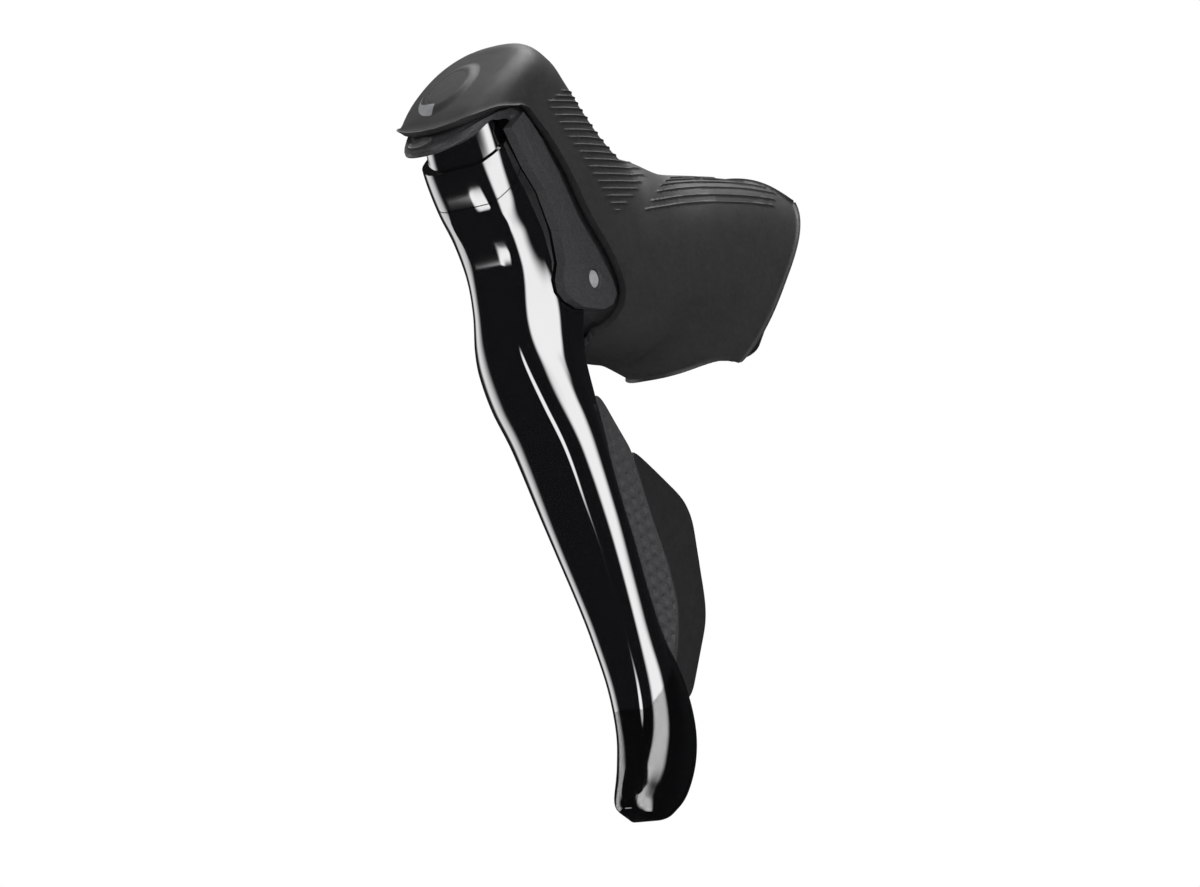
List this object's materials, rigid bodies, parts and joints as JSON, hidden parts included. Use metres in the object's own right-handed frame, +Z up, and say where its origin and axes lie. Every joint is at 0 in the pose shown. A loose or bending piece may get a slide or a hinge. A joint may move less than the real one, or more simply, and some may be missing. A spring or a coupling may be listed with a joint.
{
  "type": "bicycle brake shift lever",
  "caption": "Left-hand drop-bar brake shift lever: tall rubber-hooded body, curved gloss black hydraulic brake blade and two shift buttons behind it.",
  "frame": {"origin": "centre of the handlebar clamp, on the handlebar axis", "axes": "+X to the rear, towards the rider; +Y inboard; +Z up. The bar axis leans 33.5 degrees from +Z with its top to the rear"},
  "size_m": [0.1168, 0.0435, 0.172],
  "materials": {
    "hood_rubber": "matte",
    "nylon": "satin",
    "gloss_black": "gloss",
    "alloy": "satin",
    "steel": "satin",
    "brass": "satin",
    "seal_rubber": "matte",
    "board": "satin",
    "inlay": "satin",
    "button_grip": "matte",
    "button_smooth": "matte"
  },
  "bodies": {
    "body": {"bracket_body": "nylon", "hood": "hood_rubber", "hood_inlay": "inlay", "clamp_band": "steel", "clamp_nut": "steel", "clamp_bolt": "steel", "pivot_pin": "steel", "pin_set_screw": "steel", "cylinder_sleeve": "alloy", "cylinder_plug": "alloy", "retaining_ring": "steel", "reservoir_diaphragm": "seal_rubber", "reservoir_cover": "nylon", "cover_screws": "steel", "bleed_screw": "steel", "hose_nut": "alloy", "hose_olive": "brass", "circuit_board": "board", "coin_cell": "steel", "battery_cover": "nylon", "battery_cover_screws": "steel", "port_plugs": "seal_rubber", "remote_switch": "nylon", "piston_spring": "steel"},
    "lever": {"lever_blade": "gloss_black", "name_plate": "gloss_black", "lever_yoke": "alloy", "blade_screws": "steel", "pivot_bushes": "brass", "roller_pin": "steel", "return_spring": "steel", "switch_housing": "nylon", "switch_board": "board", "button_axle": "steel", "front_button_spring": "steel", "rear_button_spring": "steel"},
    "piston_group": {"piston": "alloy", "pushrod": "steel", "piston_seals": "seal_rubber"},
    "push_roller": {"push_roller": "steel"},
    "reach_screw": {"reach_screw": "steel"},
    "hood_button": {"hood_button": "hood_rubber"},
    "front_button": {"front_button": "button_grip"},
    "rear_button": {"rear_button": "button_smooth"}
  },
  "joints": [
    {"name": "brake_lever", "type": "hinge", "parent": "body", "child": "lever", "pos_m": [-0.062, 0, -0.002], "axis": [0, -1, 0], "range_deg": [0, 26], "stiffness_Nm_per_rad": 0.35, "springref_deg": -20.05, "deforming": ["return_spring"]},
    {"name": "piston_slide", "type": "slide", "parent": "body", "child": "piston_group", "axis": [-0.5736, 0, 0.8192], "range_m": [0, 0.0056], "deforming": ["piston_spring"]},
    {"name": "push_roller_spin", "type": "hinge", "parent": "lever", "child": "push_roller", "pos_m": [-0.05217, 0, 0.00488], "axis": [0, 1, 0], "continuous": true},
    {"name": "reach_screw_turn", "type": "hinge", "parent": "lever", "child": "reach_screw", "pos_m": [-0.07003, 0, 0.00947], "axis": [0.8192, 0, 0.5736], "range_deg": [-360, 360]},
    {"name": "hood_button_press", "type": "slide", "parent": "body", "child": "hood_button", "axis": [0.5736, 0, -0.8192], "range_m": [0, 0.0005], "stiffness_N_per_m": 900, "springref_m": -0.0006},
    {"name": "front_button_press", "type": "hinge", "parent": "lever", "child": "front_button", "pos_m": [-0.054, -0.00791, -0.06072], "axis": [0, 0.212, 0.9773], "range_deg": [0, 4], "stiffness_Nm_per_rad": 0.12, "springref_deg": -5.73, "deforming": ["front_button_spring"]},
    {"name": "rear_button_press", "type": "hinge", "parent": "lever", "child": "rear_button", "pos_m": [-0.054, -0.00791, -0.06072], "axis": [0, 0.212, 0.9773], "range_deg": [0, 8], "stiffness_Nm_per_rad": 0.12, "springref_deg": -5.73, "deforming": ["rear_button_spring"]}
  ],
  "couplings": [
    {"joint": "piston_slide", "follows": "brake_lever", "m_per_rad": 0.012}
  ]
}
